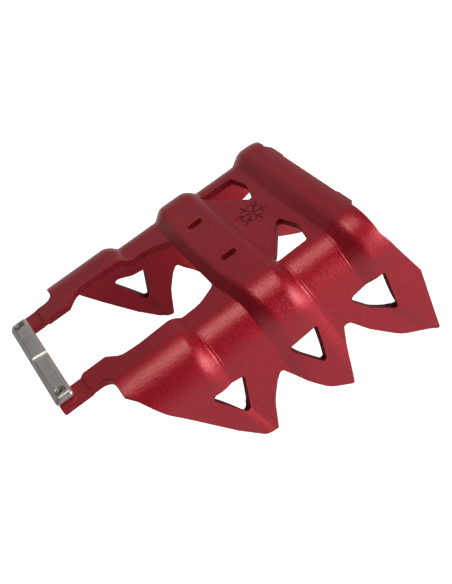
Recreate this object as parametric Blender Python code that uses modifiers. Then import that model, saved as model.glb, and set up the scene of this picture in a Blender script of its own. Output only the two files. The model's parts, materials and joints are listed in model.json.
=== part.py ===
"""Ski-touring crampon: one pressed aluminium plate with six teeth, riveted to a steel pivot bar.

The plate is described as the flat blank that it is cut from, then formed: its sides bend down into
flanges, and three raised ribs run across the deck and down over both bends.

Forming frame: X across the ski, Y along it with the pivot bar at the front (-Y), and Z up from the
deck's low zones. The finished crampon is then tilted to stand on its six tooth tips, which lie in a
plane at STAND_TILT to the deck. The world origin is the bottom centre of its bounding box.
"""
import math

import bmesh
import bpy
from mathutils import Matrix, Vector
from mathutils.geometry import delaunay_2d_cdt

MM = 0.001
ASSEMBLY_NAME = "ski_crampon"
GAP = 0.3 * MM
MERGE_DISTANCE = 0.01 * MM

# Plate
PLATE_THICKNESS = 3.0 * MM
FLANGE_HALF_WIDTH = 47.0 * MM
BEND_RADIUS = 14.0 * MM
RIB_HEIGHT = 3.1 * MM
RIB_SHARE = ((33.0, 1.0), (42.0, 1.2), (49.0, 1.1), (60.0, 0.62), (80.0, 0.42), (95.0, 0.3))
FLANGE_SPLAY = math.radians(3.5)
DECK_HALF_WIDTH = FLANGE_HALF_WIDTH - BEND_RADIUS
BEND_ANGLE = math.pi / 2 - FLANGE_SPLAY
BEND_LENGTH = BEND_RADIUS * BEND_ANGLE
REAR_EDGE_DROP = 1.9 * MM
REAR_DROP_START = 41.0 * MM
REAR_EDGE_ALONG = 47.0 * MM
TAB_STEP = 0.4 * MM
TAB_STEP_FRONT = -71.6 * MM
TAB_STEP_REAR = -69.6 * MM
STAND_TILT = math.radians(6.1)

# Half of the blank's outline, as (across, along, corner radius) in millimetres. Across is measured
# round the bend: the deck ends at 33, and the flange is straight from 55.
OPENING_EDGE = (
    (0.0, -12.2, 0.0), (20.0, -12.2, 3.0), (24.4, -20.5, 9.0), (25.4, -34.0, 0.0), (26.2, -47.0, 8.0),
    (25.6, -54.6, 6.0), (20.7, -59.4, 0.4), (20.7, -69.2, 0.4), (21.9, -70.8, 0.4), (21.9, -82.6, 0.6),
)
ARM_OUTER_EDGE = ((31.0, -82.6, 0.6), (31.0, -62.2, 5.4), (41.0, -62.5, 0.6))
FRONT_TOOTH_EDGE = (
    (44.4, -59.7, 4.0), (51.2, -55.4, 12.0), (80.1, -36.2, 0.0), (89.9, -28.4, 4.0), (92.4, -22.8, 0.8),
    (80.0, -18.4, 20.0), (73.0, -13.8, 5.0), (69.9, -10.7, 1.2),
)
MIDDLE_TOOTH_EDGE = (
    (81.3, -4.6, 16.0), (90.8, 2.0, 14.0), (96.9, 11.2, 0.8), (84.0, 14.3, 20.0), (71.4, 18.0, 1.2),
)
REAR_TOOTH_EDGE = (
    (71.9, 20.6, 1.2), (80.6, 26.4, 20.0), (92.4, 36.9, 18.0), (101.2, 52.1, 0.8), (70.9, 54.0, 1.2),
    (49.7, 46.7, 1.2),
)
REAR_EDGE = (
    (47.3, 45.5, 2.0), (34.2, 45.5, 0.4), (32.9, 45.0, 0.4), (30.0, 47.2, 0.5), (20.9, 47.2, 0.3),
    (20.1, 46.7, 0.3), (0.0, 46.7, 0.0),
)
# Cut-outs in the same blank, each wholly on one side.
DECK_CUTOUT = ((9.8, 24.0, 1.0), (20.5, 27.2, 9.0), (31.1, 25.0, 1.8), (31.7, 9.2, 1.0))
FRONT_TOOTH_HOLE = ((59.4, -38.8, 1.5), (61.9, -23.6, 1.0), (77.0, -28.3, 1.0))
MIDDLE_TOOTH_HOLE = ((63.1, -5.3, 1.5), (61.8, 8.5, 1.0), (79.4, 5.5, 1.0))
REAR_TOOTH_HOLE = ((63.1, 24.1, 1.5), (60.8, 40.3, 1.0), (79.9, 39.6, 1.0), (72.4, 30.8, 12.0))
SLOT_CENTRE = Vector((14.65, -0.4))
SLOT_LENGTH = 6.4
SLOT_WIDTH = 3.5

# The four slopes between low and high zones. Each has a foot and a crest line across the blank,
# as (across, along) in millimetres, and the share of its width that its upper bend takes. Below the
# holes they close up into a fold that runs to the tip.
FRONT_RIB_REAR_SLOPE = {
    "foot": ((0.0, -28.8), (66.0, -28.4), (76.0, -27.4), (92.4, -23.4)),
    "crest": ((0.0, -34.6), (36.0, -34.4), (49.0, -36.6), (66.0, -35.0), (76.0, -32.2), (92.4, -26.4)),
    "crest_share": 0.88,
}
MIDDLE_RIB_FRONT_SLOPE = {
    "foot": ((0.0, -12.6), (20.0, -12.4), (38.0, -10.3), (62.0, -8.8), (96.0, -6.4)),
    "crest": ((0.0, -7.0), (20.0, -6.8), (38.0, -4.0), (62.0, -1.5), (96.0, -1.0)),
    "crest_share": 0.45,
}
MIDDLE_RIB_REAR_SLOPE = {
    "foot": ((0.0, 11.3), (45.0, 11.4), (62.0, 13.6), (76.0, 15.6), (97.2, 18.0)),
    "crest": ((0.0, 6.2), (36.0, 5.6), (49.0, 3.6), (62.0, 5.2), (76.0, 8.6), (97.2, 13.0)),
    "crest_share": 0.88,
}
REAR_RIB_FRONT_SLOPE = {
    "foot": ((0.0, 29.7), (56.0, 30.6), (78.0, 36.6), (97.0, 46.6), (101.2, 50.0)),
    "crest": ((0.0, 38.4), (56.0, 38.0), (78.0, 40.6), (97.0, 50.0), (101.2, 53.0)),
    "crest_share": 0.45,
}
FOOT_SHARE = 0.12

# Lattice of the formed sheet
MAX_EDGE = 3.2
LATTICE_ACROSS = (0, 6, 12, 18, 24, 29, 33, 36, 39, 42, 45, 48, 51, 54.1, 60, 66, 72, 78, 84, 90, 96)
SLOPE_STATIONS = (0.0, FOOT_SHARE, 0.35, 0.6, 0.8, 1.0)
PLAIN_ROWS = (-78, -70.6, -62, -54, -46, -40, -21, 0, 21, 42, 45, 49)
LATTICE_CLEARANCE = 0.9
SLIVER_AREA = 1e-3
CORNER_STEP = math.radians(24)
HOLE_SEGMENTS = 20

# Pivot bar
BAR_LENGTH = 56.8 * MM
BAR_CENTRE_ALONG = -79.3 * MM
BAR_BOTTOM = RIB_HEIGHT - TAB_STEP + GAP
BAR_SECTION = (
    (-3.9, 0.0), (-3.9, 0.8), (-2.2, 2.4), (-1.4, 2.65), (2.2, 2.65), (3.0, 2.3), (3.5, 1.7),
    (3.6, 1.2), (3.6, 0.0),
)
BAR_END_ROUNDING = 1.5 * MM
GROOVE_RADIUS = 2.4 * MM
GROOVE_DEPTH = 0.85 * MM
GROOVE_DIP = math.radians(-7)

# Rivets
RIVET_ACROSS = 24.5 * MM
RIVET_ALONG = -79.3 * MM
SHANK_RADIUS = 1.6 * MM
RIVET_HEAD_RADIUS = 3.0 * MM
RIVET_HEAD_HEIGHT = 1.3 * MM
FLARE_RADIUS = 1.75 * MM
FLARE_HEIGHT = 0.6 * MM
RIVET_RECESS_BELOW_TOP = 0.25 * MM
RIVET_BORE_RADIUS = 0.85 * MM
RIVET_BORE_DEPTH = 1.4 * MM
ROUND_SEGMENTS = 32


def clear_scene():
    for item in list(bpy.data.objects):
        bpy.data.objects.remove(item, do_unlink=True)


def new_collection(name):
    collection = bpy.data.collections.new(name)
    bpy.context.scene.collection.children.link(collection)
    return collection


def make_material(name, colour, metallic, roughness):
    material = bpy.data.materials.new(name)
    material.use_nodes = True
    shader = material.node_tree.nodes["Principled BSDF"]
    shader.inputs["Base Color"].default_value = (*colour, 1.0)
    shader.inputs["Metallic"].default_value = metallic
    shader.inputs["Roughness"].default_value = roughness
    return material


def add_object(name, bm, collection, frame, material=None):
    mesh = bpy.data.meshes.new(name)
    bm.to_mesh(mesh)
    bm.free()
    if material:
        mesh.materials.append(material)
    item = bpy.data.objects.new(name, mesh)
    item.parent = frame
    collection.objects.link(item)
    return item


# ---- The formed sheet ----

def interpolated(curve, across):
    """A value read from (across, value) points, at a distance across the blank in millimetres."""
    for (a0, b0), (a1, b1) in zip(curve, curve[1:]):
        if across <= a1:
            share = max(across - a0, 0.0) / (a1 - a0)
            return b0 + (b1 - b0) * share
    return curve[-1][1]


def ease(share):
    share = min(max(share, 0.0), 1.0)
    return 0.5 - 0.5 * math.cos(math.pi * share)


def climb(slope, across, along):
    """0 up to the slope's foot and 1 past its crest: a tight bend, a straight, and a wide bend."""
    foot = interpolated(slope["foot"], across)
    crest = interpolated(slope["crest"], across)
    share = min(max((along - foot) / (crest - foot), 0.0), 1.0)
    crest_share = slope["crest_share"]
    steepness = 2.0 / (2.0 - FOOT_SHARE - crest_share)
    if share < FOOT_SHARE:
        return steepness * share ** 2 / (2.0 * FOOT_SHARE)
    if share < 1.0 - crest_share:
        return steepness * (share - FOOT_SHARE / 2.0)
    return 1.0 - steepness * (1.0 - share) ** 2 / (2.0 * crest_share)


def lift(across, along):
    """How far the pressed ribs stand out of the sheet, in metres."""
    front = climb(FRONT_RIB_REAR_SLOPE, across, along)
    middle = min(climb(MIDDLE_RIB_FRONT_SLOPE, across, along), climb(MIDDLE_RIB_REAR_SLOPE, across, along))
    rear = climb(REAR_RIB_FRONT_SLOPE, across, along)
    height = RIB_HEIGHT * interpolated(RIB_SHARE, across) * max(front, middle, rear)
    place = along * MM
    on_deck = 1.0 - ease((across * MM - DECK_HALF_WIDTH) / BEND_LENGTH)
    rear_share = min(max((place - REAR_DROP_START) / (REAR_EDGE_ALONG - REAR_DROP_START), 0.0), 1.0)
    height -= REAR_EDGE_DROP * rear_share ** 2 * on_deck
    height -= TAB_STEP * ease((TAB_STEP_REAR - place) / (TAB_STEP_REAR - TAB_STEP_FRONT))
    return height


def formed(across, along):
    """The outer face of the formed plate, for a place on the blank in millimetres."""
    reach = across * MM
    height = lift(across, along)
    if reach <= DECK_HALF_WIDTH:
        return Vector((reach, along * MM, height))
    angle = min((reach - DECK_HALF_WIDTH) / BEND_RADIUS, BEND_ANGLE)
    below_bend = max(reach - DECK_HALF_WIDTH - BEND_LENGTH, 0.0)
    radius = BEND_RADIUS + height
    return Vector((
        DECK_HALF_WIDTH + radius * math.sin(angle) + below_bend * math.cos(angle),
        along * MM,
        -BEND_RADIUS + radius * math.cos(angle) - below_bend * math.sin(angle),
    ))


# ---- The flat blank ----

def rounded(corners, closed):
    """A polyline with each corner (across, along, radius) turned into an arc."""
    points = []
    count = len(corners)
    for index, (across, along, radius) in enumerate(corners):
        corner = Vector((across, along))
        if radius == 0.0 or (not closed and index in (0, count - 1)):
            points.append(corner)
            continue
        before = Vector(corners[index - 1][:2]) - corner
        after = Vector(corners[(index + 1) % count][:2]) - corner
        half_angle = before.angle(after) / 2
        reach = radius / math.tan(half_angle)
        reach = min(reach, 0.45 * before.length, 0.45 * after.length)
        arc_radius = reach * math.tan(half_angle)
        bisector = (before.normalized() + after.normalized()).normalized()
        centre = corner + bisector * (arc_radius / math.sin(half_angle))
        start = corner + before.normalized() * reach - centre
        sweep = start.angle_signed(corner + after.normalized() * reach - centre)
        steps = max(1, math.ceil(abs(sweep) / CORNER_STEP))
        for turn in range(steps + 1):
            points.append(centre + Matrix.Rotation(-sweep * turn / steps, 2) @ start)
    return points


def refined(points, closed):
    """The same polyline with no edge longer than MAX_EDGE."""
    result = []
    ends = points[1:] + points[:1] if closed else points[1:]
    for start, end in zip(points, ends):
        steps = max(1, math.ceil((end - start).length / MAX_EDGE))
        result.extend(start.lerp(end, step / steps) for step in range(steps))
    if not closed:
        result.append(points[-1])
    return result


def circle(centre, radius, segments):
    turns = [2 * math.pi * step / segments for step in range(segments)]
    return [centre + radius * Vector((math.cos(turn), math.sin(turn))) for turn in turns]


def slot_loop(centre, length, width):
    radius = width / 2
    reach = length / 2 - radius
    points = []
    for end in (1, -1):
        for step in range(HOLE_SEGMENTS // 2 + 1):
            turn = math.pi * step / (HOLE_SEGMENTS // 2) + (0 if end == 1 else math.pi)
            points.append(centre + Vector((radius * math.cos(turn), end * reach + radius * math.sin(turn))))
    return points


def blank_loops():
    """The outline of the blank's right half, and the loops of its holes."""
    teeth = FRONT_TOOTH_EDGE + MIDDLE_TOOTH_EDGE + REAR_TOOTH_EDGE
    edge = rounded(OPENING_EDGE + ARM_OUTER_EDGE + teeth + REAR_EDGE, closed=False)
    outline = refined(edge, closed=False)
    centre_line = refined([outline[-1], outline[0]], closed=False)
    outline += centre_line[1:-1]
    cutouts = (DECK_CUTOUT, FRONT_TOOTH_HOLE, MIDDLE_TOOTH_HOLE, REAR_TOOTH_HOLE)
    holes = [refined(rounded(cutout, closed=True), closed=True) for cutout in cutouts]
    holes.append(slot_loop(SLOT_CENTRE, SLOT_LENGTH, SLOT_WIDTH))
    rivet_place = Vector((RIVET_ACROSS, RIVET_ALONG)) / MM
    holes.append(circle(rivet_place, (SHANK_RADIUS + GAP) / MM, HOLE_SEGMENTS))
    return outline, holes


def inside(point, loop):
    crossed = False
    for start, end in zip(loop, loop[1:] + loop[:1]):
        if (start.y > point.y) != (end.y > point.y):
            at = start.x + (point.y - start.y) / (end.y - start.y) * (end.x - start.x)
            crossed ^= point.x < at
    return crossed


def lattice(loops):
    """Points inside the blank, in rows that follow the slopes."""
    slopes = (FRONT_RIB_REAR_SLOPE, MIDDLE_RIB_FRONT_SLOPE, MIDDLE_RIB_REAR_SLOPE, REAR_RIB_FRONT_SLOPE)
    edge_points = [point for loop in loops for point in loop]
    points = []
    for across in LATTICE_ACROSS:
        rows = list(PLAIN_ROWS)
        for slope in slopes:
            foot = interpolated(slope["foot"], across)
            crest = interpolated(slope["crest"], across)
            rows.extend(foot + (crest - foot) * station for station in SLOPE_STATIONS)
        for row in rows:
            point = Vector((across, row))
            in_blank = inside(point + Vector((1e-4, 0.0)), loops[0])
            in_hole = any(inside(point, hole) for hole in loops[1:])
            clearance = LATTICE_CLEARANCE if across else 2.5 * MAX_EDGE
            near_edge = min((point - edge).length for edge in edge_points) < clearance
            if in_blank and not in_hole and not near_edge:
                points.append(point)
    return points


def triangulated(loops):
    """The blank's points and triangles, with every loop kept as an edge."""
    points = []
    edges = []
    for loop in loops:
        first = len(points)
        points.extend(loop)
        edges.extend((first + k, first + (k + 1) % len(loop)) for k in range(len(loop)))
    points.extend(lattice(loops))
    flat, _, triangles, *_ = delaunay_2d_cdt(points, edges, [], 0, 1e-7)
    kept = []
    for triangle in triangles:
        middle = sum((flat[k] for k in triangle), Vector((0.0, 0.0))) / len(triangle)
        corner, second, third = (flat[k] for k in triangle)
        is_sliver = abs((second - corner).cross(third - corner)) < SLIVER_AREA
        if is_sliver:
            continue
        if inside(middle, loops[0]) and not any(inside(middle, hole) for hole in loops[1:]):
            kept.append(tuple(triangle))
    return flat, kept


def build_plate(collection, frame, material):
    """The upper surface of one half, mirrored to the other side and thickened downwards."""
    outline, holes = blank_loops()
    flat, triangles = triangulated([outline, *holes])
    bm = bmesh.new()
    corners = [bm.verts.new(formed(point.x, point.y)) for point in flat]
    for triangle in triangles:
        bm.faces.new([corners[k] for k in triangle])
    plate = add_object("crampon_plate", bm, collection, frame, material)
    mirror = plate.modifiers.new("Other side", "MIRROR")
    mirror.merge_threshold = MERGE_DISTANCE
    solidify = plate.modifiers.new("Sheet thickness", "SOLIDIFY")
    solidify.thickness = PLATE_THICKNESS
    solidify.offset = -1.0
    return plate


# ---- Pivot bar and rivets ----

def add_cut(item, name, cutter):
    boolean = item.modifiers.new(name, "BOOLEAN")
    boolean.object = cutter
    boolean.operation = "DIFFERENCE"
    boolean.solver = "EXACT"


def add_cutter(name, bm, cutters, frame):
    cutter = add_object(name, bm, cutters, frame)
    cutter.hide_render = True
    cutter.display_type = "WIRE"
    return cutter


def build_bar(collection, cutters, frame, material):
    """The bar's section run across the arms, with rounded ends, a pressed groove and rivet holes."""
    half = BAR_LENGTH / 2
    bm = bmesh.new()
    section = bm.faces.new([bm.verts.new((-half, y * MM, z * MM)) for y, z in reversed(BAR_SECTION)])
    run = bmesh.ops.extrude_face_region(bm, geom=[section], use_keep_orig=True)
    far_end = [item for item in run["geom"] if isinstance(item, bmesh.types.BMVert)]
    bmesh.ops.translate(bm, verts=far_end, vec=(BAR_LENGTH, 0.0, 0.0))
    bmesh.ops.recalc_face_normals(bm, faces=bm.faces)
    round_off = bm.edges.layers.float.new("bevel_weight_edge")
    for edge in bm.edges:
        start, end = (vertex.co for vertex in edge.verts)
        across_end = abs(start.x - end.x) < GAP
        raised = max(start.z, end.z) > GAP
        edge[round_off] = 1.0 if across_end and raised else 0.0
    bar = add_object("pivot_bar", bm, collection, frame, material)
    bar.location = (0.0, BAR_CENTRE_ALONG, BAR_BOTTOM)
    bevel = bar.modifiers.new("Rounded ends", "BEVEL")
    bevel.limit_method = "WEIGHT"
    bevel.width = BAR_END_ROUNDING
    bevel.segments = 3
    add_cut(bar, "Groove", build_groove_cutter(cutters, frame))
    for side, label in ((-1, "left"), (1, "right")):
        add_cut(bar, f"Rivet hole {label}", build_hole_cutter(f"rivet_hole_{label}", side, cutters, frame))
    return bar


def build_groove_cutter(cutters, frame):
    """A rod laid along the ski over the bar's middle, dipping to the rear."""
    bm = bmesh.new()
    bmesh.ops.create_cone(
        bm, cap_ends=True, segments=ROUND_SEGMENTS, radius1=GROOVE_RADIUS, radius2=GROOVE_RADIUS,
        depth=4 * BAR_SECTION[-1][0] * MM,
    )
    cutter = add_cutter("bar_groove", bm, cutters, frame)
    cutter.rotation_euler.x = math.pi / 2 + GROOVE_DIP
    cutter.location = (0.0, BAR_CENTRE_ALONG, bar_top() + GROOVE_RADIUS - GROOVE_DEPTH)
    return cutter


def turned(name, profile, side, collection, frame, material=None):
    """A round solid on a rivet's axis. Its profile is (radius, height), from the top down."""
    bm = bmesh.new()
    corners = [bm.verts.new((radius, 0.0, height)) for radius, height in profile]
    for upper, lower in zip(corners, corners[1:]):
        bm.edges.new((upper, lower))
    item = add_object(name, bm, collection, frame, material)
    item.location = (side * RIVET_ACROSS, RIVET_ALONG, 0.0)
    screw = item.modifiers.new("Turn", "SCREW")
    screw.steps = ROUND_SEGMENTS
    screw.render_steps = ROUND_SEGMENTS
    screw.use_merge_vertices = True
    screw.merge_threshold = MERGE_DISTANCE
    return item


def bar_top():
    return BAR_BOTTOM + max(height for _, height in BAR_SECTION) * MM


def build_hole_cutter(name, side, cutters, frame):
    """The bar's rivet hole: straight below, and opening out above like the rivet's flare."""
    flare_top = bar_top() - RIVET_RECESS_BELOW_TOP
    flare_foot = flare_top - FLARE_HEIGHT
    overshoot = 1.0 * MM
    slope = (FLARE_RADIUS - SHANK_RADIUS) / FLARE_HEIGHT
    top_radius = FLARE_RADIUS + GAP + slope * RIVET_RECESS_BELOW_TOP
    profile = (
        (0.0, bar_top() + overshoot), (top_radius, bar_top() + overshoot), (top_radius, bar_top()),
        (SHANK_RADIUS + GAP, flare_foot), (SHANK_RADIUS + GAP, BAR_BOTTOM - overshoot),
        (0.0, BAR_BOTTOM - overshoot),
    )
    cutter = turned(name, profile, side, cutters, frame)
    cutter.hide_render = True
    cutter.display_type = "WIRE"
    return cutter


def build_rivet(label, side, collection, frame, material):
    """A domed head under the arm, a shank through arm and bar, and a flared end with a short bore."""
    seat = RIB_HEIGHT - TAB_STEP - PLATE_THICKNESS - GAP
    top = bar_top() - RIVET_RECESS_BELOW_TOP
    profile = (
        (0.0, top - RIVET_BORE_DEPTH), (RIVET_BORE_RADIUS, top - RIVET_BORE_DEPTH),
        (RIVET_BORE_RADIUS, top - 0.3 * RIVET_BORE_DEPTH), (1.35 * RIVET_BORE_RADIUS, top),
        (FLARE_RADIUS, top), (SHANK_RADIUS, top - FLARE_HEIGHT), (SHANK_RADIUS, seat),
        (RIVET_HEAD_RADIUS, seat), (RIVET_HEAD_RADIUS, seat - 0.25 * RIVET_HEAD_HEIGHT),
        (0.90 * RIVET_HEAD_RADIUS, seat - 0.7 * RIVET_HEAD_HEIGHT),
        (0.62 * RIVET_HEAD_RADIUS, seat - RIVET_HEAD_HEIGHT), (0.0, seat - RIVET_HEAD_HEIGHT),
    )
    return turned(f"rivet_{label}", profile, side, collection, frame, material)


def stand_on_teeth(frame, parts):
    """Tilt the forming frame so that the tooth tips are level, and centre it over the origin."""
    frame.rotation_euler.x = STAND_TILT
    depsgraph = bpy.context.evaluated_depsgraph_get()
    corners = []
    for part in parts:
        shaped = part.evaluated_get(depsgraph)
        corners.extend(shaped.matrix_world @ vertex.co for vertex in shaped.data.vertices)
    centre = (min(corner.y for corner in corners) + max(corner.y for corner in corners)) / 2
    floor = min(corner.z for corner in corners)
    frame.location = (0.0, -centre, -floor)


def main():
    clear_scene()
    assembly = new_collection(ASSEMBLY_NAME)
    cutters = new_collection(f"{ASSEMBLY_NAME}_cutters")
    frame = bpy.data.objects.new("forming_frame", None)
    assembly.objects.link(frame)
    red = make_material("anodised_aluminium_red", (0.30, 0.02, 0.035), 0.7, 0.45)
    steel = make_material("satin_steel", (0.52, 0.50, 0.47), 1.0, 0.38)
    dark_steel = make_material("rivet_steel", (0.30, 0.27, 0.24), 1.0, 0.45)
    parts = [
        build_plate(assembly, frame, red),
        build_bar(assembly, cutters, frame, steel),
        build_rivet("left", -1, assembly, frame, dark_steel),
        build_rivet("right", 1, assembly, frame, dark_steel),
    ]
    stand_on_teeth(frame, parts)


main()
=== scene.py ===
"""Looks for the ski-touring crampon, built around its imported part.

The plate is formed again from the blank that the CAD uses, at a finer pitch and with its edges
rounded; the bar and rivets are rebuilt with rounded edges. The forming frame has X across the ski,
Y along it with the pivot bar at -Y, and Z up from the deck's low zones, in millimetres.
"""

import json
import math

import bmesh
import bpy
import numpy as np
from mathutils import Matrix, Vector
from mathutils.geometry import delaunay_2d_cdt
from mathutils.kdtree import KDTree


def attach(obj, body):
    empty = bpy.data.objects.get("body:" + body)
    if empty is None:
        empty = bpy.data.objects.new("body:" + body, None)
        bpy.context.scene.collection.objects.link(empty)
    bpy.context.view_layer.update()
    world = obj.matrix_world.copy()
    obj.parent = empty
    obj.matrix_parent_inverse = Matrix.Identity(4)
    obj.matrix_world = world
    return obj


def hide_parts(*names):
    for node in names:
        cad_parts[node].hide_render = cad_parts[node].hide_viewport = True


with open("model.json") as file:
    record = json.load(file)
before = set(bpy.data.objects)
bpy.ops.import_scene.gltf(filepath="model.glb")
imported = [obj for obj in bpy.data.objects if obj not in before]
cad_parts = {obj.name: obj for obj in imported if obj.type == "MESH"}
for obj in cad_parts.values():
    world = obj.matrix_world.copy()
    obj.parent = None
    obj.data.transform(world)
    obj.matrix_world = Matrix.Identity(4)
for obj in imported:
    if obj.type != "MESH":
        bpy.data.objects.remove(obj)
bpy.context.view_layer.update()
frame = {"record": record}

MM = 0.001
MOUNTS = {mount["name"]: mount for mount in frame["record"]["mounts"]}

# ---- The blank and its forming, as in the CAD (millimetres) ----
PLATE_THICKNESS = 3.0
RIB_HEIGHT = 3.1
RIB_SHARE = ((33.0, 1.0), (42.0, 1.2), (49.0, 1.1), (60.0, 0.62), (80.0, 0.42), (95.0, 0.3))
BEND_RADIUS = 14.0
BEND_ANGLE = math.pi / 2 - math.radians(3.5)
DECK_HALF_WIDTH = 33.0
BEND_LENGTH = BEND_RADIUS * BEND_ANGLE
REAR_EDGE_DROP = 1.9
REAR_DROP = (41.0, 47.0)
TAB_STEP = 0.4
TAB_STEP_SPAN = (-70.0, -71.2)
FOOT_SHARE = 0.12

OPENING_EDGE = (
    (0.0, -12.2, 0.0), (20.0, -12.2, 3.0), (24.4, -20.5, 9.0), (25.4, -34.0, 0.0), (26.2, -47.0, 8.0),
    (25.6, -54.6, 6.0), (20.7, -59.4, 0.5), (20.7, -69.2, 0.5), (21.9, -70.8, 0.5), (21.9, -82.6, 0.6),
)
ARM_OUTER_EDGE = ((31.0, -82.6, 0.6), (31.0, -62.2, 5.4), (41.0, -62.5, 0.6))
FRONT_TOOTH_EDGE = (
    (44.4, -59.7, 4.0), (51.2, -55.4, 12.0), (80.1, -36.2, 0.0), (89.9, -28.4, 4.0), (92.4, -22.8, 0.8),
    (80.0, -18.4, 20.0), (73.0, -13.8, 5.0), (69.9, -10.7, 1.2),
)
MIDDLE_TOOTH_EDGE = (
    (81.3, -4.6, 16.0), (90.8, 2.0, 14.0), (96.9, 11.2, 0.8), (84.0, 14.3, 20.0), (71.4, 18.0, 1.2),
)
REAR_TOOTH_EDGE = (
    (71.9, 20.6, 1.2), (80.6, 26.4, 20.0), (92.4, 36.9, 18.0), (101.2, 52.1, 0.8), (70.9, 54.0, 1.2),
    (49.7, 46.7, 1.2),
)
REAR_EDGE = (
    (47.3, 45.5, 2.0), (34.2, 45.5, 0.5), (32.9, 45.0, 0.5), (30.0, 47.2, 0.6), (20.9, 47.2, 0.5),
    (20.1, 46.7, 0.5), (0.0, 46.7, 0.0),
)
HOLES = (
    ((9.8, 24.0, 1.0), (20.5, 27.2, 9.0), (31.1, 25.0, 1.8), (31.7, 9.2, 1.0)),
    ((59.4, -38.8, 1.5), (61.9, -23.6, 1.0), (77.0, -28.3, 1.0)),
    ((63.1, -5.3, 1.5), (61.8, 8.5, 1.0), (79.4, 5.5, 1.0)),
    ((63.1, 24.1, 1.5), (60.8, 40.3, 1.0), (79.9, 39.6, 1.0), (72.4, 30.8, 12.0)),
)
# How strongly each rim's cut wall is darkened as painted shade: outer edge, deck cut-out, three tooth holes,
# slot, rivet hole.
RIM_WALL_SHADE = (0.3, 0.5, 0.9, 0.9, 0.9, 0.4, 0.3)
SLOT = ((12.9, -3.6, 1.79), (16.4, -3.6, 1.79), (16.4, 2.8, 1.79), (12.9, 2.8, 1.79))
RIVET_PLACE = (24.5, -79.3)
RIVET_HOLE_RADIUS = 1.9

FRONT_RIB_REAR_SLOPE = {
    "foot": ((0.0, -28.8), (66.0, -28.4), (76.0, -27.4), (92.4, -23.4)),
    "crest": ((0.0, -34.6), (36.0, -34.4), (49.0, -36.6), (66.0, -35.0), (76.0, -32.2), (92.4, -26.4)),
    "crest_share": 0.88,
}
MIDDLE_RIB_FRONT_SLOPE = {
    "foot": ((0.0, -12.6), (20.0, -12.4), (38.0, -10.3), (62.0, -8.8), (96.0, -6.4)),
    "crest": ((0.0, -7.0), (20.0, -6.8), (38.0, -4.0), (62.0, -1.5), (96.0, -1.0)),
    "crest_share": 0.45,
}
MIDDLE_RIB_REAR_SLOPE = {
    "foot": ((0.0, 11.3), (45.0, 11.4), (62.0, 13.6), (76.0, 15.6), (97.2, 18.0)),
    "crest": ((0.0, 6.2), (36.0, 5.6), (49.0, 3.6), (62.0, 5.2), (76.0, 8.6), (97.2, 13.0)),
    "crest_share": 0.88,
}
REAR_RIB_FRONT_SLOPE = {
    "foot": ((0.0, 29.7), (56.0, 30.6), (78.0, 36.6), (97.0, 46.6), (101.2, 50.0)),
    "crest": ((0.0, 38.4), (56.0, 38.0), (78.0, 40.6), (97.0, 50.0), (101.2, 53.0)),
    "crest_share": 0.45,
}
SLOPES = (FRONT_RIB_REAR_SLOPE, MIDDLE_RIB_FRONT_SLOPE, MIDDLE_RIB_REAR_SLOPE, REAR_RIB_FRONT_SLOPE)

# ---- Finer pitch, rounded edges and press marks (millimetres) ----
MAX_EDGE = 1.0
CORNER_STEP = math.radians(12)
RIVET_HOLE_STEPS = 40
EDGE_ROUNDING = 0.28
ROUNDING_STEPS = 3
SOFTENING = 4.0
SOFTENING_SAMPLES = 5
NORMAL_REACH = 1.3
ON_CENTRE = 1e-6
SAME_POINT = 1e-7
SLIVER_AREA = 1e-5
CORNER_REACH_SHARE = 0.45
FACE_WEIGHT = 80

# The lattice of points inside the outline: columns across the blank, rows along it.
DECK_COLUMNS = 24
BEND_COLUMNS = 30
FLANGE_COLUMNS = 34
WIDEST_TOOTH = 101.0
FRONT_ROW = -82.0
REAR_ROW = 54.0
ROW_PITCH = 1.3
ROW_CLEARANCE = 0.5
CLOSEST_ROWS = 0.12
TAB_ROWS = 8
TAB_ROWS_INSET = 0.3
LATTICE_CLEARANCE = 0.45
FOOT_ROWS = (-1.5, -1.1, -0.8, -0.65, -0.5, -0.35, -0.2, 0.0, 0.15, 0.3, 0.45, 0.6, 0.75, 1.1, 1.5)
CREST_ROWS = np.linspace(0.25, 1.1, 8)

PRESS_MARK_HEIGHT = 0.12
PRESS_MARK_WIDTH = 0.17
PRESS_MARK_PLACES = (-0.45, 0.5)
PRESS_MARK_FADE = ((0.0, 0.2), (15.0, 0.4), (32.0, 0.9), (66.0, 1.0), (92.0, 0.5))


def forming_matrix():
    """Forming frame in millimetres to the world in metres, from the mount on the middle rib."""
    up = Vector(MOUNTS["rib_top"]["axis"])
    tilt = math.atan2(-up.y, up.z)
    place = Vector(MOUNTS["rib_top"]["pos_m"]) - up * RIB_HEIGHT * MM
    return Matrix.Translation(place) @ Matrix.Rotation(tilt, 4, "X") @ Matrix.Scale(MM, 4)


FORMING = forming_matrix()


def interpolated(curve, across):
    """A value read from (across, value) points, with the line's corners rounded off."""
    places, values = zip(*curve)
    reaches = np.linspace(-SOFTENING, SOFTENING, SOFTENING_SAMPLES)
    return sum(np.interp(across + reach, places, values) for reach in reaches) / len(reaches)


def ease(share):
    """A share of the way, starting and ending gently."""
    return 0.5 - 0.5 * np.cos(np.pi * np.clip(share, 0.0, 1.0))


def climb(slope, across, along):
    """0 up to the slope's foot and 1 past its crest: a tight bend, a straight, and a wide bend."""
    foot = interpolated(slope["foot"], across)
    crest = interpolated(slope["crest"], across)
    share = np.clip((along - foot) / (crest - foot), 0.0, 1.0)
    crest_share = slope["crest_share"]
    steepness = 2.0 / (2.0 - FOOT_SHARE - crest_share)
    low = steepness * share ** 2 / (2.0 * FOOT_SHARE)
    straight = steepness * (share - FOOT_SHARE / 2.0)
    high = 1.0 - steepness * (1.0 - share) ** 2 / (2.0 * crest_share)
    return np.where(share < FOOT_SHARE, low, np.where(share < 1.0 - crest_share, straight, high))


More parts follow.
